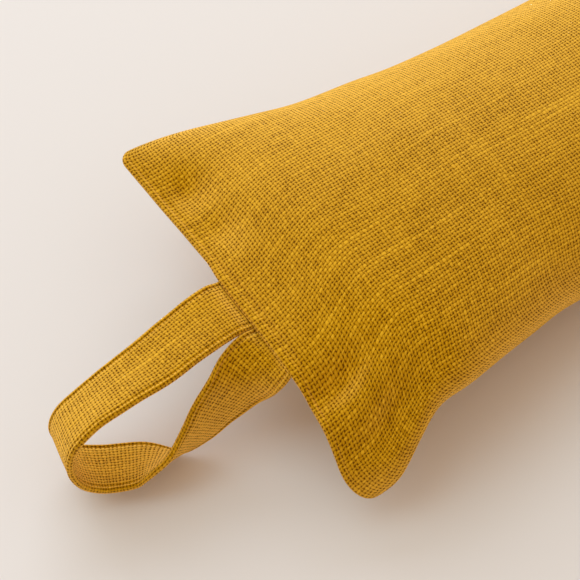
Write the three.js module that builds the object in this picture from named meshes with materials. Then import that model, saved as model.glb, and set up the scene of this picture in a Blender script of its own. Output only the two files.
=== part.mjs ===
// Draught excluder: a long filled cover of coarse plain-weave cloth, pinched flat at both end
// seams, with a folded strap loop caught in the middle of one seam.
// Millimetres, +X from the strap end to the far end, +Y to the left of that, +Z up, resting on z = 0.
import * as THREE from "three";

// Filled cover. Cut flat it is about 900 by 200; the filling takes up some of the length.
const LENGTH = 880; // seam corner to seam corner
const END_HALF_WIDTH = 98.7; // across the corners at a seam, where the tube is pinched flat
const MID_HALF_WIDTH = 76.5; // at the round middle
const NARROWING_RUN = 92; // how soon the flat end narrows to the round middle
const NARROWING_POWER = 1.96;
const HEIGHT = 84; // top of the crown above the floor
const FOLD_HEIGHT = 42; // height of the widest line in the round middle
const CROWN_RUN = 62; // how soon the section swells from a flat seam to the full crown
const BELLY_POWER = 0.82; // below 1 the underside is flatter than an ellipse
const BELLY_PRESS = 1.4; // how deep the underside would reach past the floor that flattens it
const SEAM_THICKNESS = 4.4; // two cloths and their turned-in edges
const SEAM_BEAD = 2.2; // how far back the seam's edge is rounded
const DRAW_IN = 2.6; // how far the filling pulls the middle of a seam in
const DRAW_POWER = 2.2;
const DRAW_RUN = 60;
const SEAM_RUN = 106; // how far the lift of a whole seam reaches along the cover
const CORNER_RUN = 35; // how far a corner's own lift or droop reaches
const CORNER_POWER = 3.8;

// Heights of each end seam's corners and middle, how far the corners reach out, and their
// rounding: the strap end lies twisted.
const STRAP_END = {
  middle: 55.7,
  left: { height: 60.6, reach: 1.2, radius: 6.5 },
  right: { height: 17.7, reach: 4.5, radius: 14 },
};
const FAR_END = {
  middle: 44,
  left: { height: 40, reach: 0, radius: 9 },
  right: { height: 40, reach: 0, radius: 9 },
};

// Where the filling swells or pinches the sides near the strap end: side 1 is the left.
const SIDE_SWELLS = [
  { side: -1, run: 18, reach: 11, out: 2.3 },
  { side: -1, run: 49, reach: 13, out: -3.2 },
  { side: -1, run: 129, reach: 14, out: -1 },
  { side: 1, run: 36, reach: 22, out: 1.3 },
  { side: 1, run: 86, reach: 14, out: -1 },
  { side: 1, run: 120, reach: 14, out: 1 },
];

// Strap: a strip folded double and stitched along both long edges.
const STRAP_WIDTH = 30;
const STRAP_THICKNESS = 3;
const STITCH_INSET = 2.6; // stitch line to the strap's edge
const STITCH_DEPTH = 0.35;

// The strap's route as it lies: out of the seam, over a bend, along the floor, half a twist, back up.
// Centre of the strip from the seam corner line, then the way its first long edge points.
const ROUTE = [
  // along, across, height, edge along, edge across, edge up
  [2, -0.4, 55.5, 0, -1, 0],
  [-11.5, -0.6, 55.6, 0.05, -1, 0],
  [-28, -2.5, 54.8, 0.08, -0.99, 0.1],
  [-45, -4.5, 53.2, 0.05, -0.98, 0.17],
  [-61.5, -5, 51, -0.04, -0.96, 0.27],
  [-77, -5, 47, -0.13, -0.93, 0.34],
  [-90.2, -5, 39.8, -0.19, -0.94, 0.28],
  [-95.5, -6.5, 28.7, -0.17, -0.96, 0.24],
  [-92, -10, 16.2, -0.21, -0.94, 0.26],
  [-81, -15, 9, -0.33, -0.9, 0.28],
  [-66.5, -22, 9.2, -0.5, -0.78, 0.37],
  [-54, -29, 13, -0.46, -0.45, 0.77],
  [-41.5, -29.8, 20.4, -0.53, -0.15, 0.84],
  [-29.5, -29.2, 30.3, -0.52, 0.13, 0.84],
  [-19, -29.6, 39.8, -0.4, 0.38, 0.83],
  [-9, -29.8, 48.4, -0.18, 0.86, 0.42],
  [1, -30, 55, 0.04, 1, 0],
];

const END_RINGS = 20; // stations over each shaped end
const END_RUN = 230;
const MIDDLE_RINGS = 8;
const AROUND = 60; // points round the cover
const ROUTE_STEPS = 4; // rings between two rows of the route

// A closed solid through rings that run from one side edge over the top to the other and back
// underneath. Each end is closed by joining the points above each other.
function loft(rings) {
  const n = rings[0].length;
  const half = n / 2;
  const position = rings.flatMap((ring) => ring.flatMap((p) => [p.x, p.y, p.z]));
  const index = [];
  const quad = (a, b, c, d) => index.push(a, b, c, a, c, d);
  for (let i = 0; i + 1 < rings.length; i++)
    for (let k = 0; k < n; k++) {
      const next = (k + 1) % n;
      quad(i * n + k, i * n + next, (i + 1) * n + next, (i + 1) * n + k);
    }
  const closeEnd = (start, flip) => {
    const face = (a, b, c) => (flip ? index.push(a, c, b) : index.push(a, b, c));
    for (let k = 0; k < half; k++) {
      const [a, b] = [start + k, start + k + 1];
      const [c, d] = [start + n - k - 1, start + ((n - k) % n)];
      if (b !== c) face(a, b, c);
      if (a !== d) face(a, c, d);
    }
  };
  closeEnd(0, true);
  closeEnd((rings.length - 1) * n, false);
  const geometry = new THREE.BufferGeometry();
  geometry.setAttribute("position", new THREE.Float32BufferAttribute(position, 3));
  geometry.setIndex(index);
  return geometry;
}

// Share of the full crown at a distance from the seam.
const crownShare = (run) => 1 - Math.exp(-run / CROWN_RUN);

const halfWidth = (run) =>
  MID_HALF_WIDTH +
  (END_HALF_WIDTH - MID_HALF_WIDTH) * Math.exp(-((run / NARROWING_RUN) ** NARROWING_POWER));

const cornerOf = (end, across) => (across > 0 ? end.left : end.right);

// Height of the surface midway between the two cloths.
function foldHeight(run, across, end) {
  const seam = (end.middle - FOLD_HEIGHT) * Math.exp(-((run / SEAM_RUN) ** 2));
  const lift = (cornerOf(end, across).height - end.middle) * Math.exp(-((run / CORNER_RUN) ** 2));
  return FOLD_HEIGHT + seam + lift * Math.abs(across) ** CORNER_POWER;
}

// How far a point is set back from the straight line between the seam's corners.
function setBack(run, across, end) {
  const { reach, radius } = cornerOf(end, across);
  const seam = DRAW_IN - (DRAW_IN + reach) * Math.abs(across) ** DRAW_POWER;
  const drawn = seam * Math.exp(-run / DRAW_RUN);
  const fromEdge = END_HALF_WIDTH * (1 - Math.abs(across));
  const rest = Math.max(0, radius - fromEdge);
  const rounded = radius - Math.sqrt(radius ** 2 - rest ** 2);
  return drawn + rounded * Math.exp(-run / (1.5 * radius));
}

// How far a side stands out from the even narrowing.
const swell = (run, across) =>
  SIDE_SWELLS.filter((s) => s.side * across > 0).reduce(
    (sum, s) => sum + s.out * Math.exp(-(((run - s.run) / s.reach) ** 2)),
    0,
  );

// One point of the cover: run from the nearer seam, angle round the section.
function coverPoint(run, angle, end) {
  const across = Math.cos(angle);
  const rise = Math.abs(Math.sin(angle));
  const fold = foldHeight(run, across, end);
  const share = crownShare(run);
  const back = 1 - Math.min(1, (run + 0.15) / SEAM_BEAD);
  const seam = (SEAM_THICKNESS / 2) * Math.sqrt((1 - across ** 12) * (1 - back ** 2));
  const top = Math.hypot((HEIGHT - FOLD_HEIGHT) * share * rise, seam);
  const belly = Math.hypot((FOLD_HEIGHT + BELLY_PRESS) * share * rise ** BELLY_POWER, seam);
  const z = Math.sin(angle) >= 0 ? fold + top : Math.max(0, fold - belly);
  const wide = halfWidth(run) + (end === STRAP_END ? swell(run, across) : 0);
  return new THREE.Vector3(run + setBack(run, across, end), wide * across, z);
}

function cover() {
  const runs = [];
  for (let i = 0; i <= END_RINGS; i++) runs.push(END_RUN * (i / END_RINGS) ** 1.9);
  const ring = (run, end) =>
    Array.from({ length: AROUND }, (_, k) => coverPoint(run, (2 * Math.PI * k) / AROUND, end));
  const near = runs.map((run) => ring(run, STRAP_END));
  const far = runs.map((run) =>
    ring(run, FAR_END).map((p) => new THREE.Vector3(LENGTH - p.x, p.y, p.z)),
  );
  const middle = [];
  for (let i = 1; i < MIDDLE_RINGS; i++) {
    const share = i / MIDDLE_RINGS;
    const [from, to] = [near[END_RINGS], far[END_RINGS]];
    middle.push(from.map((p, k) => p.clone().lerp(to[k], share)));
  }
  return loft([...near, ...middle, ...far.reverse()]);
}

// The strip's section: half its thickness at each distance from its centre line.
function strapSection() {
  const edge = STRAP_WIDTH / 2;
  const thick = STRAP_THICKNESS / 2;
  const groove = edge - STITCH_INSET;
  const side = [
    [edge, 0.55 * thick],
    [edge - 0.7, thick],
    [groove + 0.6, thick],
    [groove, thick - STITCH_DEPTH],
    [groove - 0.8, thick - 0.1],
  ];
  const upper = [...side, [0, thick], ...side.map(([d, t]) => [-d, t]).reverse()];
  return [...upper, ...upper.map(([d, t]) => [d, -t]).reverse()];
}

// A smooth curve through the rows of the route, for each column alike.
function routeAt(step) {
  const last = ROUTE.length - 1;
  const i = Math.min(Math.floor(step), last - 1);
  const t = step - i;
  const row = (k) => ROUTE[Math.min(Math.max(k, 0), last)];
  return row(i).map((value, column) => {
    const [a, b, c, d] = [row(i - 1), row(i), row(i + 1), row(i + 2)].map((r) => r[column]);
    const cubic = 3 * (b - c) + d - a;
    return value + 0.5 * t * (c - a + t * (2 * a - 5 * b + 4 * c - d + t * cubic));
  });
}

function strap() {
  const section = strapSection();
  const steps = (ROUTE.length - 1) * ROUTE_STEPS;
  const rings = [];
  for (let i = 0; i <= steps; i++) {
    const at = routeAt(i / ROUTE_STEPS);
    const ahead = new THREE.Vector3(...routeAt(Math.min(i + 0.5, steps) / ROUTE_STEPS));
    const behind = new THREE.Vector3(...routeAt(Math.max(i - 0.5, 0) / ROUTE_STEPS));
    const along = ahead.sub(behind).normalize();
    const wide = new THREE.Vector3(at[3], at[4], at[5]);
    wide.addScaledVector(along, -wide.dot(along)).normalize();
    const outer = along.clone().cross(wide);
    const centre = new THREE.Vector3(at[0], at[1], at[2]);
    rings.push(
      section.map(([d, t]) => centre.clone().addScaledVector(wide, d).addScaledVector(outer, t)),
    );
  }
  return loft(rings);
}

const cloth = new THREE.MeshStandardMaterial({ color: 0xc08f1c, roughness: 0.95 });
const group = new THREE.Group();
for (const [name, geometry] of [
  ["cover", cover()],
  ["handle_strap", strap()],
]) {
  const mesh = new THREE.Mesh(geometry, cloth);
  mesh.name = name;
  group.add(mesh);
}

// The origin goes to the bottom centre of the whole.
const box = new THREE.Box3().setFromObject(group);
const centre = box.getCenter(new THREE.Vector3());
for (const mesh of group.children) mesh.geometry.translate(-centre.x, -centre.y, -box.min.z);

export default group;
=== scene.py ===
"""A draught excluder: a long filled cover of coarse slub cloth with a folded strap loop."""

import math
from types import SimpleNamespace

import bpy
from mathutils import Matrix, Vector, noise


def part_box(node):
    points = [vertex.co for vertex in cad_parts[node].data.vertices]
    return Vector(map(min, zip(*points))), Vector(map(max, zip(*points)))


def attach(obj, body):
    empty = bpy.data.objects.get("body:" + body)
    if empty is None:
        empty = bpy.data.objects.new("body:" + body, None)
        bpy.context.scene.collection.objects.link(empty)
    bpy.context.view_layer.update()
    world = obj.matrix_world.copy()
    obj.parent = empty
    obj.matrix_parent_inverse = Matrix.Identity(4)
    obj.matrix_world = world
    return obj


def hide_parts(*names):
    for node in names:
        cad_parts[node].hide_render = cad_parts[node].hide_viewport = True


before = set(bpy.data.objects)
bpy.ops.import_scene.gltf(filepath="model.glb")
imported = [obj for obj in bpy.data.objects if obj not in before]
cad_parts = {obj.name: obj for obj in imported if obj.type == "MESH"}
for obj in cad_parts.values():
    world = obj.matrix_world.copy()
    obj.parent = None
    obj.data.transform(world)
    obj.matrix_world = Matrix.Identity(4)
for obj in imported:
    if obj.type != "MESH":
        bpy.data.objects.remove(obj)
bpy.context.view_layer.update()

bl_info = {
    "name": "Draught excluder",
    "version": (1, 0, 0),
    "blender": (4, 5, 0),
    "location": "View3D > Sidebar > Excluder",
    "description": "Builds a filled cover with a strap loop, its cloth and its stage",
    "category": "Add Mesh",
}

MM = 0.001
COVER_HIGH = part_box("cover")[1]
# The far end seam stands this far inside the line through its own corners, in millimetres.
FAR_SET_BACK = 0.48

# How the cover's form changes: runs and reaches in millimetres from a seam.
NARROWING_POWER = 1.96
SEAM_RUN = 106  # how far the lift of a whole seam reaches along the cover
CORNER_RUN = 35  # how far a corner's own lift or droop reaches
CORNER_POWER = 3.8
DRAW_RUN = 60  # how far the pull on a seam's middle reaches
DRAW_POWER = 2.2
BELLY_POWER = 0.82  # below 1 the underside is flatter than an ellipse
BELLY_PRESS = 1.4  # how deep the underside would reach past the surface that flattens it
CREASE_RUN = 3.6  # from a seam's edge to its stitching
CREASE_REACH = 1.0
OVERHANG_RUN = 1.6
OVERHANG_MIDDLE = -15  # across the cover, midway between the strap's roots
OVERHANG_REACH = 36

# The small gathers along a seam: how closely they follow each other, how far they run, and how
# soon they start.
GATHER_TURNS = 41
GATHER_RUN = 11
GATHER_START = 2.2

# Lumps of the filling: their length, how many lie across the half width, their share of the
# unevenness, how soon they start at a seam, and where the pattern of each face is taken from.
LUMPS = [
    {"long": 85, "across": 1.5, "share": 1.5, "start": 45, "side": 5.3},
    {"long": 30, "across": 3.6, "share": 0.55, "start": 25, "side": 9.1},
]

# How the strap lies less than straight and flat, in millimetres.
STRAP_SWAY = 0.25
MIDDLE_LIFT = 0.3
EDGE_SWAY = 0.4
STITCH_PUFF = 0.14
STITCH_REACH = 0.5
TUCK_RUN = 3.5
ROOT_LENGTH = 4  # of each end inside the seam

# Threads lie a little further apart across the cover than along it.
CROSS_SPACING = 1.05

# Fineness of the meshes.
COVER_AROUND = 240
COVER_HALF_RINGS = 150
RING_CROWDING = 1.7  # above 1 the rings lie closer together near the seams
STRAP_RINGS = 420

# Where the strip runs, in millimetres from the seam corner line: its centre, then the way its
# first long edge points.
STRAP_ROUTE = [
    # along, across, height, edge along, edge across, edge up
    (2, -0.4, 55.5, 0, -1, 0),
    (-11.5, -0.6, 55.6, 0.05, -1, 0),
    (-28, -2.5, 54.8, 0.08, -0.99, 0.1),
    (-45, -4.5, 53.2, 0.05, -0.98, 0.17),
    (-61.5, -5, 51, -0.04, -0.96, 0.27),
    (-77, -5, 47, -0.13, -0.93, 0.34),
    (-90.2, -5, 39.8, -0.19, -0.94, 0.28),
    (-95.5, -6.5, 28.7, -0.17, -0.96, 0.24),
    (-92, -10, 16.2, -0.21, -0.94, 0.26),
    (-81, -15, 9, -0.33, -0.9, 0.28),
    (-66.5, -22, 9.2, -0.5, -0.78, 0.37),
    (-54, -29, 13, -0.46, -0.45, 0.77),
    (-41.5, -29.8, 20.4, -0.53, -0.15, 0.84),
    (-29.5, -29.2, 30.3, -0.52, 0.13, 0.84),
    (-19, -29.6, 39.8, -0.4, 0.38, 0.83),
    (-9, -29.8, 48.4, -0.18, 0.86, 0.42),
    (1, -30, 55, 0.04, 1, 0),
]

# How an end seam lies: heights of its middle and corners, how far the corners reach out, and
# their rounding.
STRAP_END = {
    "middle": 55.7,
    "left": {"height": 60.6, "reach": 1.2, "radius": 6.5},
    "right": {"height": 17.7, "reach": 4.5, "radius": 14},
}
FAR_END = {
    "middle": 44,
    "left": {"height": 40, "reach": 0, "radius": 9},
    "right": {"height": 40, "reach": 0, "radius": 9},
}

# Where the filling swells or pinches the sides near the strap end: side 1 is the left.
SIDE_SWELLS = [
    {"side": -1, "run": 18, "reach": 11, "out": 2.3},
    {"side": -1, "run": 49, "reach": 13, "out": -3.2},
    {"side": -1, "run": 129, "reach": 14, "out": -1},
    {"side": 1, "run": 36, "reach": 22, "out": 1.3},
    {"side": 1, "run": 86, "reach": 14, "out": -1},
    {"side": 1, "run": 120, "reach": 14, "out": 1},
]

# Soft hollows and swells of the filling: where they lie, how far they reach, how deep they go.
HOLLOWS = [
    # along, across as a share of the half width, reach along, reach across, depth
    {"along": 15, "across": 0.62, "run": 10, "wide": 0.13, "depth": 5.5},
    {"along": 14, "across": 0.36, "run": 9, "wide": 0.13, "depth": 4},
    {"along": 34, "across": 0.66, "run": 18, "wide": 0.2, "depth": 1.5},
    {"along": 14, "across": -0.6, "run": 16, "wide": 0.085, "depth": 8},
    {"along": 27, "across": -0.86, "run": 17, "wide": 0.08, "depth": 8},
    {"along": 62, "across": -0.3, "run": 30, "wide": 0.3, "depth": 1.2},
    {"along": 105, "across": 0.28, "run": 36, "wide": 0.32, "depth": -1.2},
    {"along": 866, "across": 0.6, "run": 14, "wide": 0.12, "depth": 3.5},
    {"along": 862, "across": -0.64, "run": 16, "wide": 0.12, "depth": 4},
]


def length_setting(name, description, millimetres):
    return bpy.props.FloatProperty(
        name=name, description=description, default=millimetres * MM, unit="LENGTH", precision=4
    )


def colour_setting(name, description, default):
    return bpy.props.FloatVectorProperty(
        name=name, description=description, default=default, subtype="COLOR", size=3, min=0, max=1
    )


def angle_setting(name, description, degrees):
    return bpy.props.FloatProperty(
        name=name, description=description, default=math.radians(degrees), subtype="ANGLE"
    )


class CoverSettings(bpy.types.PropertyGroup):
    """Sizes of the filled cover"""

    length: length_setting("Length", "Seam corner to seam corner", 880)
    end_half_width: length_setting("End half width", "Half the width along a pinched end seam", 98.7)
    mid_half_width: length_setting("Middle half width", "Half the width of the round middle", 76.5)
    narrowing_run: length_setting("Narrowing run", "How soon the flat end narrows to the round middle", 92)
    height: length_setting("Height", "Crown above the surface", 84)
    fold_height: length_setting("Widest height", "Height of the widest line above the surface", 42)
    crown_run: length_setting("Crown run", "How soon the section swells to the full crown", 62)
    draw_in: length_setting("Draw-in", "How far the filling pulls a seam's middle in", 2.6)
    seam_thickness: length_setting("Seam thickness", "Two cloths and their turned-in edges", 4.4)
    seam_bead: length_setting("Seam bead", "How far back the seam's edge is rounded", 2.2)
    overhang: length_setting("Overhang", "How far the upper cloth hangs over the strap's roots", 2.2)
    crease: length_setting("Seam crease", "How deep the stitching of an end seam draws each cloth in", 0.8)
    pucker: length_setting("Pucker", "Height of the small gathers along a seam", 0.45)
    unevenness: length_setting("Unevenness", "How far the filling swells and sinks", 0.9)


class StrapSettings(bpy.types.PropertyGroup):
    """Sizes of the strap"""

    width: length_setting("Width", "Across the folded strip", 30)
    thickness: length_setting("Thickness", "Of the folded strip", 3)
    stitch_inset: length_setting("Stitch inset", "From the strip's edge to its stitch line", 2.5)
    stitch_pitch: length_setting("Stitch pitch", "One stitch and its gap", 3.6)
    stitch_depth: length_setting("Stitch depth", "How deep a stitch line draws the cloth in", 0.6)
    tuck: length_setting("Tuck", "How far the strip dips where it goes under the seam's edge", 1.6)


class ClothSettings(bpy.types.PropertyGroup):
    """Colours and scale of the cloth"""

    thread_pitch: length_setting("Thread pitch", "From one thread to the next", 1.7)
    # Painted highlight on the tops of the thread crossings, which the paler slubs and knots reach too.
    highlight_and_pale_thread: colour_setting("Thread top", "Top of a thread", (0.80, 0.43, 0.017))
    thread_side: colour_setting("Thread", "Side of a thread", (0.53, 0.25, 0.003))
    # Painted sheen: the pale colour the thread tops take seen edge on.
    fuzz_and_sheen: colour_setting("Fuzz", "Loose fibres seen edge on", (1.0, 0.56, 0.09))
    # Painted shade in the gaps between the threads.
    gap: colour_setting("Gap", "Between the threads", (0.15, 0.052, 0.0006))


class StageSettings(bpy.types.PropertyGroup):
    """The surface and the camera"""

    surface: colour_setting("Surface", "Colour of the surface", (0.80, 0.765, 0.76))
    azimuth: angle_setting("Azimuth", "The camera's turn", 34.51)
    elevation: angle_setting("Elevation", "The camera's height above the surface, as an angle", 55.09)
    distance: length_setting("Distance", "Camera to aim", 690.07)
    lens: bpy.props.FloatProperty(
        name="Lens", description="Focal length on a 36 mm sensor", default=92.87, unit="CAMERA"
    )
    aim: bpy.props.FloatVectorProperty(
        name="Aim",
        description="Where the camera points, from the seam corner line",
        default=(30.96 * MM, 0.64 * MM, 40 * MM),
        size=3,
        subtype="TRANSLATION",
        unit="LENGTH",
    )


def settings():
    return bpy.context.scene.excluder


def setting_names(group):
    return [name for name in group.bl_rna.properties.keys() if name not in ("rna_type", "name")]


def in_millimetres(group):
    """The lengths of a group of settings in millimetres, without the rounding of stored values."""
    return SimpleNamespace(**{name: round(getattr(group, name) / MM, 4) for name in setting_names(group)})


def deselect():
    if bpy.context.mode != "OBJECT":
        bpy.ops.object.mode_set(mode="OBJECT")
    bpy.ops.object.select_all(action="DESELECT")


def origin():
    """Where the shapes are measured from: below the middle of the strap end's corner line."""
    return Vector((COVER_HIGH[0] - settings().cover.length + FAR_SET_BACK * MM, 0, 0))


def new_piece(name, points, faces, uvs, total):
    """A smooth mesh piece from points in millimetres, with a pair of thread counts for each point.

    The counts across go up to the total all the way round, and on past the first point again.
    """
    mesh = bpy.data.meshes.new(name)
    start = origin()
    mesh.from_pydata([start + Vector(p) * MM for p in points], [], faces)
    layer = mesh.uv_layers.new(name="threads")
    for face in mesh.polygons:
        high = max(uvs[k][1] for k in face.vertices)
        for loop, k in zip(face.loop_indices, face.vertices):
            along, across = uvs[k]
            layer.data[loop].uv = (along, across + total if high - across > total / 2 else across)
    mesh.shade_smooth()
    obj = bpy.data.objects.new(name, mesh)
    bpy.context.collection.objects.link(obj)
    return obj


def wall(rings, around):
    """The faces between rings of points, each ring closed on itself."""
    faces = []
    for a in range(0, (rings - 1) * around, around):
        b = a + around
        for k in range(around):
            n = (k + 1) % around
            faces.append((a + k, a + n, b + n, b + k))
    return faces


# Shape of the cover.


def half_width(size, run):
    flat = math.exp(-((run / size.narrowing_run) ** NARROWING_POWER))
    return size.mid_half_width + (size.end_half_width - size.mid_half_width) * flat


def fold_height(size, run, across, end):
    """Height of the surface midway between the two cloths."""
    corner = end["left" if across > 0 else "right"]
    seam = (end["middle"] - size.fold_height) * math.exp(-((run / SEAM_RUN) ** 2))
    lift = (corner["height"] - end["middle"]) * math.exp(-((run / CORNER_RUN) ** 2))
    return size.fold_height + seam + lift * abs(across) ** CORNER_POWER


def swell(run, across):
    """How far a side stands out from the even narrowing."""
    return sum(
        s["out"] * math.exp(-(((run - s["run"]) / s["reach"]) ** 2))
        for s in SIDE_SWELLS
        if s["side"] * across > 0
    )


def set_back(size, run, across, end):
    """How far a point lies behind the straight line between its seam's corners."""
    corner = end["left" if across > 0 else "right"]
    radius = corner["radius"]
    seam = size.draw_in - (size.draw_in + corner["reach"]) * abs(across) ** DRAW_POWER
    rest = max(0.0, radius - size.end_half_width * (1 - abs(across)))
    rounded = radius - math.sqrt(radius**2 - rest**2)
    return seam * math.exp(-run / DRAW_RUN) + rounded * math.exp(-run / (1.5 * radius))


def relief(size, along, across, over):
    """How far the cloth stands out of the plain form: gathers at the seams, uneven filling."""
    run = min(along, size.length - along)
    side = 1.0 if over else -1.0
    start = noise.noise(Vector((across * 9, side * 3.1, 7.0)))
    gather = math.cos(across * GATHER_TURNS + 3.2 * start + side) * (0.65 + 0.8 * start)
    out = size.pucker * gather * math.exp(-run / GATHER_RUN) * (1 - math.exp(-run / GATHER_START))
    for lump in LUMPS:
        at = Vector((along / lump["long"], across * lump["across"], side * lump["side"]))
        grown = 1 - math.exp(-run / lump["start"])
        out += size.unevenness * lump["share"] * noise.noise(at) * grown
    return out


def hollow(along, across):
    """How deep the upper cloth sinks below the plain form."""
    depth = 0.0
    for dip in HOLLOWS:
        near = ((along - dip["along"]) / dip["run"]) ** 2 + ((across - dip["across"]) / dip["wide"]) ** 2
        if near < 12:
            depth += dip["depth"] * math.exp(-near)
    return depth


def cover_point(size, along, angle, plain=False):
    """One point of the cover: the plain form, or with the hollows, gathers and creases on it."""
    near_end = along <= size.length / 2
    run = along if near_end else size.length - along
    end = STRAP_END if near_end else FAR_END
    across = math.cos(angle)
    rise = abs(math.sin(angle))
    fold = fold_height(size, run, across, end)
    share = 1 - math.exp(-run / size.crown_run)
    back = 1 - min(1, (run + 0.02) / size.seam_bead)
    seam = (size.seam_thickness / 2) * math.sqrt(max(0.0, (1 - across**12) * (1 - back**2)))
    x = run + set_back(size, run, across, end)
    y = (half_width(size, run) + (swell(run, across) if near_end else 0)) * across
    over = math.sin(angle) >= 0
    if near_end and over:
        # The upper cloth hangs over the roots of the strap.
        roots = math.exp(-((run / OVERHANG_RUN) ** 2) - ((y - OVERHANG_MIDDLE) / OVERHANG_REACH) ** 6)
        x -= size.overhang * roots * rise
    # The two cloths are stitched together close behind the edge, which stands out as a low ridge.
    # Hollows sink both cloths at the seam, and only the upper one where the filling parts them,
    # which is full once a third of the crown is reached.
    loose = min(1, share * 3)
    shift = sunk = crease = 0.0
    if not plain:
        shift = relief(size, along, across, over) * rise**0.7 * loose
        sunk = hollow(along, across) * rise**0.6
        stitched = math.exp(-(((run - CREASE_RUN) / CREASE_REACH) ** 2))
        crease = size.crease * stitched * (1 - across**8)
    if over:
        crown = math.hypot((size.height - size.fold_height) * share * rise, seam)
        z = fold + crown + shift - crease - sunk
    else:
        belly = math.hypot((size.fold_height + BELLY_PRESS) * share * rise**BELLY_POWER, seam)
        z = max(0.0, fold - belly - shift * 0.6 + crease - sunk * (1 - loose))
    return (x if near_end else size.length - x, y, z)


def stations(size):
    """Distances from the seam corner line: close together near each seam."""
    half = size.length / 2
    count = COVER_HALF_RINGS
    near = [half * (i / count) ** RING_CROWDING for i in range(count + 1)]
    return near + [size.length - s for s in reversed(near[:-1])]


def close_end(faces, start, around, flip):
    """Joins the upper and lower cloth of a seam's edge."""
    half = around // 2
    for k in range(half):
        quad = [start + k, start + k + 1, start + around - k - 1, start + (around - k) % around]
        quad = list(dict.fromkeys(quad))
        faces.append(tuple(reversed(quad)) if flip else tuple(quad))


def thread_uvs(points, rings, around, pitch, count):
    """Thread counts: along the cloth by the length it covers, across by the share of each face.

    The upper and the lower face hold the same number of threads all the way along.
    """
    uvs = []
    half = around // 2
    lengths = [0.0] * around
    for i in range(rings):
        ring = [Vector(p) for p in points[i * around : (i + 1) * around]]
        if i:
            before = [Vector(p) for p in points[(i - 1) * around : i * around]]
            lengths = [s + (a - b).length for s, a, b in zip(lengths, ring, before)]
        steps = [(ring[(k + 1) % around] - ring[k]).length for k in range(around)]
        for face in (0, 1):
            part = steps[face * half : (face + 1) * half]
            total = sum(part)
            run = 0.0
            for k, step in enumerate(part):
                uvs.append((lengths[face * half + k] / pitch, (face + run / total) * count / 2))
                run += step
    return uvs


class EXCLUDER_OT_cover(bpy.types.Operator):
    """Make the filled cover, pinched flat at both end seams"""

    bl_idname = "excluder.cover"
    bl_label = "Cover"

    def execute(self, context):
        size = in_millimetres(settings().cover)
        pitch = round(settings().cloth.thread_pitch / MM, 4)
        around = COVER_AROUND
        runs = stations(size)
        places = [(along, 2 * math.pi * k / around) for along in runs for k in range(around)]
        points = [cover_point(size, *place) for place in places]
        faces = wall(len(runs), around)
        close_end(faces, 0, around, True)
        close_end(faces, (len(runs) - 1) * around, around, False)
        # An even number of threads all the way round, so that the weave closes on itself.
        threads = 2 * round(2 * size.end_half_width / (CROSS_SPACING * pitch))
        # The threads are counted on the plain form, so that a hollow doesn't bend them.
        plain = [cover_point(size, *place, plain=True) for place in places]
        uvs = thread_uvs(plain, len(runs), around, pitch, threads)
        cover = new_piece("filled_cover", points, faces, uvs, threads)
        cover.data.materials.append(cloth_material("slub_cloth"))
        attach(cover, "root")
        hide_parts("cover")
        return {"FINISHED"}


# Shape of the strap.


def route_at(step):
    """A smooth curve through the rows of the route, for each column alike."""
    last = len(STRAP_ROUTE) - 1
    i = min(int(step), last - 1)
    t = step - i
    rows = [STRAP_ROUTE[min(max(k, 0), last)] for k in (i - 1, i, i + 1, i + 2)]
    out = []
    for a, b, c, d in zip(*rows):
        cubic = 3 * (b - c) + d - a
        out.append(b + 0.5 * t * (c - a + t * (2 * a - 5 * b + 4 * c - d + t * cubic)))
    return out


def strap_frames(steps):
    """Centre, width direction and outward direction at evenly spaced steps of the route."""
    last = len(STRAP_ROUTE) - 1
    frames = []
    for i in range(steps + 1):
        s = last * i / steps
        at = route_at(s)
        ahead = Vector(route_at(min(s + 0.06, last))[:3])
        behind = Vector(route_at(max(s - 0.06, 0))[:3])
        along = (ahead - behind).normalized()
        wide = Vector(at[3:])
        wide = (wide - along * wide.dot(along)).normalized()
        frames.append((Vector(at[:3]), wide, along.cross(wide)))
    # Both ends run on into the seam that holds them.
    into = Vector((ROOT_LENGTH, 0, 0))
    first, final = frames[0], frames[-1]
    return [(first[0] + into, *first[1:]), *frames, (final[0] + into, *final[1:])]


def strap_section(size):
    """Half the strip's thickness at places across it: rolled edge, stitch line, slightly full middle."""
    edge, thick = size.width / 2, size.thickness / 2
    line = edge - size.stitch_inset
    side = []
    for turn in (0, 18, 38, 60, 80):
        a = math.radians(turn)
        side.append((edge - thick + thick * math.cos(a), thick * 1.12 * math.sin(a)))
    groove = ((0.8, -0.1), (0.35, 0.15), (0.15, 0.8), (0, 1), (-0.15, 0.8), (-0.4, 0.3), (-1.4, 0.1))
    for away, depth in groove:
        side.append((line + away, thick - size.stitch_depth * depth))
    side += [(line - 3, thick * 0.99), (line - 6, thick * 1.01), (line - 9, thick * 1.02)]
    side = sorted(set(side), reverse=True)
    return side + [(0, thick * 1.02)] + [(-d, t) for d, t in reversed(side)]


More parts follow.
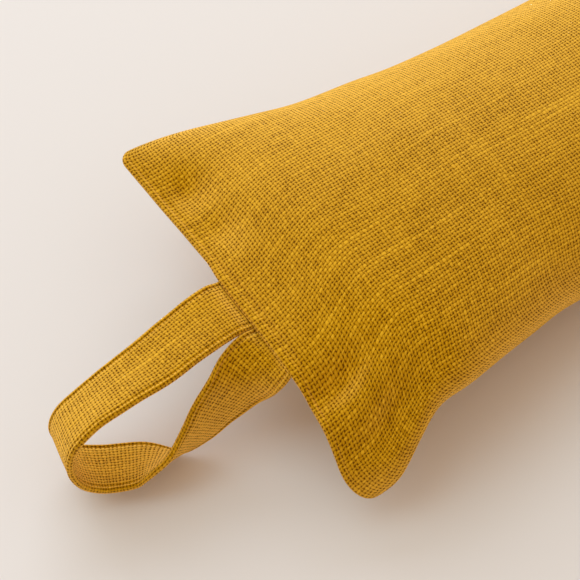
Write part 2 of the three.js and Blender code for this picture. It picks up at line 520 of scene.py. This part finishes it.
class EXCLUDER_OT_strap(bpy.types.Operator):
    """Make the folded strap loop, half twisted as it lies"""

    bl_idname = "excluder.strap"
    bl_label = "Strap"

    def execute(self, context):
        size = in_millimetres(settings().strap)
        pitch = round(settings().cloth.thread_pitch / MM, 4)
        section = strap_section(size)
        ring = section + [(d, -t) for d, t in reversed(section[1:-1])]
        around = len(ring)
        frames = strap_frames(STRAP_RINGS)
        line = size.width / 2 - size.stitch_inset
        points, uvs = [], []
        run = 0.0
        girth = [0.0]
        for k in range(1, around):
            girth.append(girth[-1] + math.dist(ring[k - 1], ring[k]))
        # A thread lies along each edge and a gap under each stitch line, with a whole number of
        # threads between the two lines.
        face = girth[around // 2]
        rim = min(arc for (d, _), arc in zip(ring, girth) if d <= line)
        count = round((face - 2 * rim) / pitch)

        def rows(arc):
            if arc > face:
                return count + 5 + rows(arc - face)
            if arc > face / 2:
                return count + 6 - rows(face - arc)
            if arc < rim:
                return 0.5 + 2.5 * arc / rim
            return 3 + (arc - rim) / (face - 2 * rim) * count

        for i, (centre, wide, outer) in enumerate(frames):
            if i:
                run += (centre - frames[i - 1][0]).length
            sway = STRAP_SWAY * noise.noise(Vector((run / 16, 3.3, 0)))
            for (d, t), over in zip(ring, girth):
                side = math.copysign(1, d)
                middle = max(0.0, 1 - abs(d) / (size.width / 2)) ** 0.3
                lift = MIDDLE_LIFT * middle * noise.noise(Vector((run / 13, d / 9, 1.7)))
                edge = EDGE_SWAY * side * (1 - middle)
                edge *= noise.noise(Vector((run / 11, 8 * side, 0.4)))
                # Between two stitches the cloth comes up a little.
                stitch = math.cos(2 * math.pi * run / size.stitch_pitch)
                stitch *= math.exp(-(((abs(d) - line) / STITCH_REACH) ** 2))
                lift += math.copysign(STITCH_PUFF, t) * stitch
                where = centre + wide * (d + sway + edge) + outer * (t + lift)
                where.z -= size.tuck * math.exp(-((min(0.0, where.x) / TUCK_RUN) ** 2))
                points.append(tuple(where))
                uvs.append((run / pitch + 0.37, rows(over)))
        faces = wall(len(frames), around)
        faces.append(tuple(reversed(range(around))))
        faces.append(tuple(range(len(points) - around, len(points))))
        strap = new_piece("strap_loop", points, faces, uvs, 2 * (count + 5))
        strap.data.materials.append(cloth_material("strap_cloth"))
        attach(strap, "root")
        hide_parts("handle_strap")
        return {"FINISHED"}


# Cloth, surface and light.


# How much each kind of unevenness adds to a thread's thickness, and to its shade.
THREAD_WEIGHT = {"slub": 0.1, "own": 0.05, "thick": 0.09, "fine": 0.12}
THREAD_TONE = {"slub": 0.4, "own": 0.3, "thick": 0.5, "fine": 0.25}


class Nodes:
    """A few shorthands for a material's nodes."""

    def __init__(self, name):
        self.material = bpy.data.materials.new(name)
        self.material.use_nodes = True
        self.tree = self.material.node_tree
        self.shader = self.tree.nodes["Principled BSDF"]

    def set(self, socket, value):
        if isinstance(value, bpy.types.NodeSocket):
            self.tree.links.new(value, socket)
        elif value is not None:
            socket.default_value = value

    def math(self, how, a, b=None, c=None, clamp=False):
        node = self.tree.nodes.new("ShaderNodeMath")
        node.operation = how
        node.use_clamp = clamp
        for socket, value in zip(node.inputs, (a, b, c)):
            self.set(socket, value)
        return node.outputs[0]

    def times(self, a, b):
        return self.math("MULTIPLY", a, b)

    def plus(self, a, b):
        return self.math("ADD", a, b)

    def minus(self, a, b):
        return self.math("SUBTRACT", a, b)

    def noise(self, x, y, z=0.0, detail=1.0, rough=0.5):
        """Noise at a place given as values or sockets, one unit coarse."""
        at = self.tree.nodes.new("ShaderNodeCombineXYZ")
        for socket, value in zip(at.inputs, (x, y, z)):
            self.set(socket, value)
        node = self.tree.nodes.new("ShaderNodeTexNoise")
        node.inputs["Scale"].default_value = 1.0
        node.inputs["Detail"].default_value = detail
        node.inputs["Roughness"].default_value = rough
        self.tree.links.new(at.outputs[0], node.inputs["Vector"])
        return node.outputs["Fac"]

    def patches(self, u, v, scale_u, scale_v, start, detail=1.0, rough=0.5):
        """Noise over the cloth, with a scale of its own along and across."""
        return self.noise(self.times(u, scale_u), self.times(v, scale_v), start, detail, rough)

    def spread(self, value, low, high, to_low=0.0, to_high=1.0):
        """A smooth step from one value to another."""
        node = self.tree.nodes.new("ShaderNodeMapRange")
        node.interpolation_type = "SMOOTHSTEP"
        for socket, v in zip(node.inputs, (value, low, high, to_low, to_high)):
            self.set(socket, v)
        return node.outputs["Result"]

    def mix(self, share, a, b):
        node = self.tree.nodes.new("ShaderNodeMix")
        node.data_type = "RGBA"
        self.set(node.inputs["Factor"], share)
        self.set(node.inputs["A"], (*a, 1) if isinstance(a, tuple) else a)
        self.set(node.inputs["B"], (*b, 1) if isinstance(b, tuple) else b)
        return node.outputs["Result"]


def thread(n, along, count, start, least, variety):
    """One set of threads: the round profile across each thread, its tone, and its number."""
    number = n.math("FLOOR", count)
    across = n.math("ABSOLUTE", n.minus(n.math("FRACT", count), 0.5))
    # Each thread has its own weight and shade, and slubs swell and thin it. Here and there it is
    # thick and pale over a long stretch, and it is a little uneven all along.
    own = n.patches(along, number, 0.012, 7.31, start + 4, detail=0.0)
    slub = n.patches(along, number, 0.09, 3.71, start, detail=2.0)
    thick = n.patches(along, number, 0.022, 5.77, start + 6)
    kinds = {
        "own": n.times(n.spread(own, 0.25, 0.75), variety),
        "slub": n.times(n.spread(slub, 0.3, 0.72), variety),
        "thick": n.times(n.spread(thick, 0.56, 0.74), variety),
        "fine": n.patches(along, number, 0.7, 5.13, start + 9),
    }
    half, tone = least, 0.0
    for kind, amount in kinds.items():
        half = n.math("MULTIPLY_ADD", amount, THREAD_WEIGHT[kind], half)
        tone = n.math("MULTIPLY_ADD", amount, THREAD_TONE[kind], tone)
    share = n.math("DIVIDE", across, half)
    profile = n.math("SQRT", n.math("MAXIMUM", n.minus(1.0, n.times(share, share)), 0.0))
    return profile, tone, number


def cloth_material(name):
    """Coarse plain weave of uneven threads, following the piece's own thread counts."""
    cloth = settings().cloth
    n = Nodes(name)
    uv = n.tree.nodes.new("ShaderNodeUVMap")
    uv.uv_map = "threads"
    parts = n.tree.nodes.new("ShaderNodeSeparateXYZ")
    n.tree.links.new(uv.outputs["UV"], parts.inputs[0])
    u, v = parts.outputs["X"], parts.outputs["Y"]
    # Threads wander a little out of line, and crowd or part.
    wander_u = n.patches(u, v, 0.09, 0.05, 2.0, detail=2.0)
    wander_v = n.patches(u, v, 0.05, 0.09, 5.0, detail=2.0)
    shiver_u = n.patches(u, v, 0.9, 0.35, 12.0)
    shiver_v = n.patches(u, v, 0.35, 0.9, 15.0)
    u = n.plus(n.math("MULTIPLY_ADD", wander_u, 0.45, u), n.times(shiver_u, 0.65))
    v = n.plus(n.math("MULTIPLY_ADD", wander_v, 0.45, v), n.times(shiver_v, 0.65))

    long_profile, long_tone, row = thread(n, u, v, start=0.0, least=0.215, variety=1.0)
    cross_profile, cross_tone, column = thread(n, v, u, start=31.0, least=0.32, variety=0.4)
    # Over and under: each crossing lies the other way from its neighbours.
    wave = n.math("SINE", n.times(u, math.pi))
    odd = n.minus(1.0, n.times(n.math("FLOORED_MODULO", row, 2.0), 2.0))
    long_lift = n.times(wave, odd)
    wave = n.math("SINE", n.times(v, math.pi))
    odd = n.minus(n.times(n.math("FLOORED_MODULO", column, 2.0), 2.0), 1.0)
    cross_lift = n.times(wave, odd)
    long_height = n.times(long_profile, n.math("MULTIPLY_ADD", long_lift, 0.4, 0.6))
    cross_height = n.times(cross_profile, n.math("MULTIPLY_ADD", cross_lift, 0.4, 0.6))
    height = n.math("MAXIMUM", long_height, cross_height)
    on_long = n.math("GREATER_THAN", long_height, cross_height)
    on_cross = n.minus(1.0, on_long)
    tone = n.plus(n.times(on_long, long_tone), n.times(on_cross, cross_tone))

    # Fuzz and single fibres, then broad uneven dyeing.
    fuzz_and_sheen = n.patches(u, v, 3.1, 3.1, 1.0, detail=3.0, rough=0.7)
    patch = n.patches(u, v, 0.035, 0.05, 8.0, detail=3.0)
    # Painted light and tone: the relief of the threads paints shade towards the gaps and a highlight on the
    # crossings, and the threads' own tone, the fuzz, the knots and the dyeing add to it.
    painted_light_and_tone = n.math("MULTIPLY_ADD", n.minus(tone, 0.5), 0.6, n.spread(height, 0.0, 0.85))
    painted_light_and_tone = n.math("MULTIPLY_ADD", n.minus(fuzz_and_sheen, 0.5), 0.6, painted_light_and_tone)
    # Each crossing is a knot of its own, some paler than others.
    knot = n.patches(n.math("FLOOR", u), row, 3.37, 5.91, 21.0, detail=0.0)
    painted_light_and_tone = n.math("MULTIPLY_ADD", n.minus(knot, 0.5), 0.55, painted_light_and_tone)
    painted_light_and_tone = n.math("MULTIPLY_ADD", n.minus(patch, 0.5), 0.2, painted_light_and_tone)
    # Painted shade towards the gap colour where the threads dip, and a painted highlight on the highest
    # crossings and the paler slubs.
    colour = n.mix(n.spread(painted_light_and_tone, -0.05, 0.5), tuple(cloth.gap), tuple(cloth.thread_side))
    colour = n.mix(n.spread(painted_light_and_tone, 0.6, 1.25), colour, tuple(cloth.highlight_and_pale_thread))
    # Seen edge on, the tops of the threads are mixed towards the pale fuzz colour, which hides the gaps: a
    # painted sheen that lightens the cloth towards its outline.
    layer = n.tree.nodes.new("ShaderNodeLayerWeight")
    layer.inputs["Blend"].default_value = 0.5
    painted_sheen_share = n.math("MULTIPLY_ADD", layer.outputs["Facing"], 1.5, -0.08, clamp=True)
    painted_sheen_share = n.times(painted_sheen_share, n.spread(height, 0.15, 0.7, 0.0, 1.0))
    colour = n.mix(painted_sheen_share, colour, tuple(cloth.fuzz_and_sheen))
    n.tree.links.new(colour, n.shader.inputs["Base Color"])
    n.shader.inputs["Roughness"].default_value = 0.9
    n.shader.inputs["Specular IOR Level"].default_value = 0.03
    n.shader.inputs["Sheen Weight"].default_value = 0.12
    n.shader.inputs["Sheen Roughness"].default_value = 0.35
    n.shader.inputs["Sheen Tint"].default_value = (1.0, 0.74, 0.3, 1)

    bump = n.tree.nodes.new("ShaderNodeBump")
    bump.inputs["Strength"].default_value = 0.9
    bump.inputs["Distance"].default_value = 0.0006
    relief_height = n.math("MULTIPLY_ADD", fuzz_and_sheen, 0.3, n.math("MULTIPLY_ADD", knot, 0.25, height))
    relief_height = n.math("MULTIPLY_ADD", tone, 0.35, relief_height)
    n.tree.links.new(relief_height, bump.inputs["Height"])
    n.tree.links.new(bump.outputs["Normal"], n.shader.inputs["Normal"])
    return n.material


class EXCLUDER_OT_stage(bpy.types.Operator):
    """Lay the pale surface, and set the light and the camera"""

    bl_idname = "excluder.stage"
    bl_label = "Stage"

    def execute(self, context):
        stage = settings().stage
        deselect()
        bpy.ops.mesh.primitive_plane_add(size=6, location=(0, 0, 0))
        floor = context.active_object
        floor.name = "pale_surface"
        n = Nodes("pale_surface")
        n.shader.inputs["Base Color"].default_value = (*stage.surface, 1)
        n.shader.inputs["Roughness"].default_value = 0.75
        n.shader.inputs["Specular IOR Level"].default_value = 0.2
        floor.data.materials.append(n.material)

        turn, lift = stage.azimuth, stage.elevation
        right = Vector((math.cos(turn), -math.sin(turn), 0))
        away = Vector((math.sin(turn), math.cos(turn), 0))
        aim = origin() + Vector(stage.aim)
        towards = away * -math.cos(lift) + Vector((0, 0, math.sin(lift)))
        data = bpy.data.cameras.new("camera")
        data.lens = stage.lens
        data.sensor_width = 36
        data.sensor_fit = "HORIZONTAL"
        data.clip_start = 0.01
        data.clip_end = 50
        camera = bpy.data.objects.new("camera", data)
        camera.location = aim + towards * stage.distance
        camera.rotation_euler = (-towards).to_track_quat("-Z", "Y").to_euler()
        bpy.context.collection.objects.link(camera)
        context.scene.camera = camera
        context.scene.view_settings.view_transform = "Standard"

        def soft_light(name, side, back, up, size, power, colour):
            light = bpy.data.lights.new(name, "AREA")
            light.size = size
            light.energy = power
            light.color = colour
            obj = bpy.data.objects.new(name, light)
            obj.location = aim + right * side + away * back + Vector((0, 0, up))
            obj.rotation_euler = (obj.location - aim).to_track_quat("Z", "Y").to_euler()
            bpy.context.collection.objects.link(obj)

        # Places and sizes in metres: a cool window low behind, and a cool light high on the left.
        soft_light(
            "window_light", side=-0.6, back=2.65, up=1.5, size=2.8, power=66, colour=(0.76, 0.875, 1.0)
        )
        soft_light("high_light", side=-1.6, back=0.3, up=2.7, size=2.4, power=31, colour=(0.66, 0.9, 1.0))
        world = bpy.data.worlds.new("studio")
        world.use_nodes = True
        back = world.node_tree.nodes["Background"]
        back.inputs["Color"].default_value = (1.0, 0.82, 0.64, 1)
        back.inputs["Strength"].default_value = 0.69
        context.scene.world = world
        return {"FINISHED"}


class ExcluderSettings(bpy.types.PropertyGroup):
    """All settings of the draught excluder"""

    cover: bpy.props.PointerProperty(name="Cover", description="Sizes of the cover", type=CoverSettings)
    strap: bpy.props.PointerProperty(name="Strap", description="Sizes of the strap", type=StrapSettings)
    cloth: bpy.props.PointerProperty(name="Cloth", description="Colours and scale", type=ClothSettings)
    stage: bpy.props.PointerProperty(name="Stage", description="Surface, camera, light", type=StageSettings)


class EXCLUDER_PT_panel(bpy.types.Panel):
    """Lists the pieces of the draught excluder"""

    bl_label = "Draught excluder"
    bl_idname = "EXCLUDER_PT_panel"
    bl_space_type = "VIEW_3D"
    bl_region_type = "UI"
    bl_category = "Excluder"

    def draw(self, context):
        for operator in OPERATORS:
            self.layout.operator(operator.bl_idname)
        for group in ("cover", "strap", "cloth", "stage"):
            box = self.layout.box()
            part = getattr(context.scene.excluder, group)
            for name in setting_names(part):
                box.prop(part, name)


OPERATORS = (EXCLUDER_OT_cover, EXCLUDER_OT_strap, EXCLUDER_OT_stage)
CLASSES = (
    CoverSettings,
    StrapSettings,
    ClothSettings,
    StageSettings,
    ExcluderSettings,
    *OPERATORS,
    EXCLUDER_PT_panel,
)


def register():
    for cls in CLASSES:
        bpy.utils.register_class(cls)
    bpy.types.Scene.excluder = bpy.props.PointerProperty(type=ExcluderSettings)


def unregister():
    del bpy.types.Scene.excluder
    for cls in reversed(CLASSES):
        bpy.utils.unregister_class(cls)


def main():
    register()
    deselect()
    bpy.ops.excluder.cover()
    bpy.ops.excluder.strap()
    bpy.ops.excluder.stage()


if __name__ == "__main__":
    main()
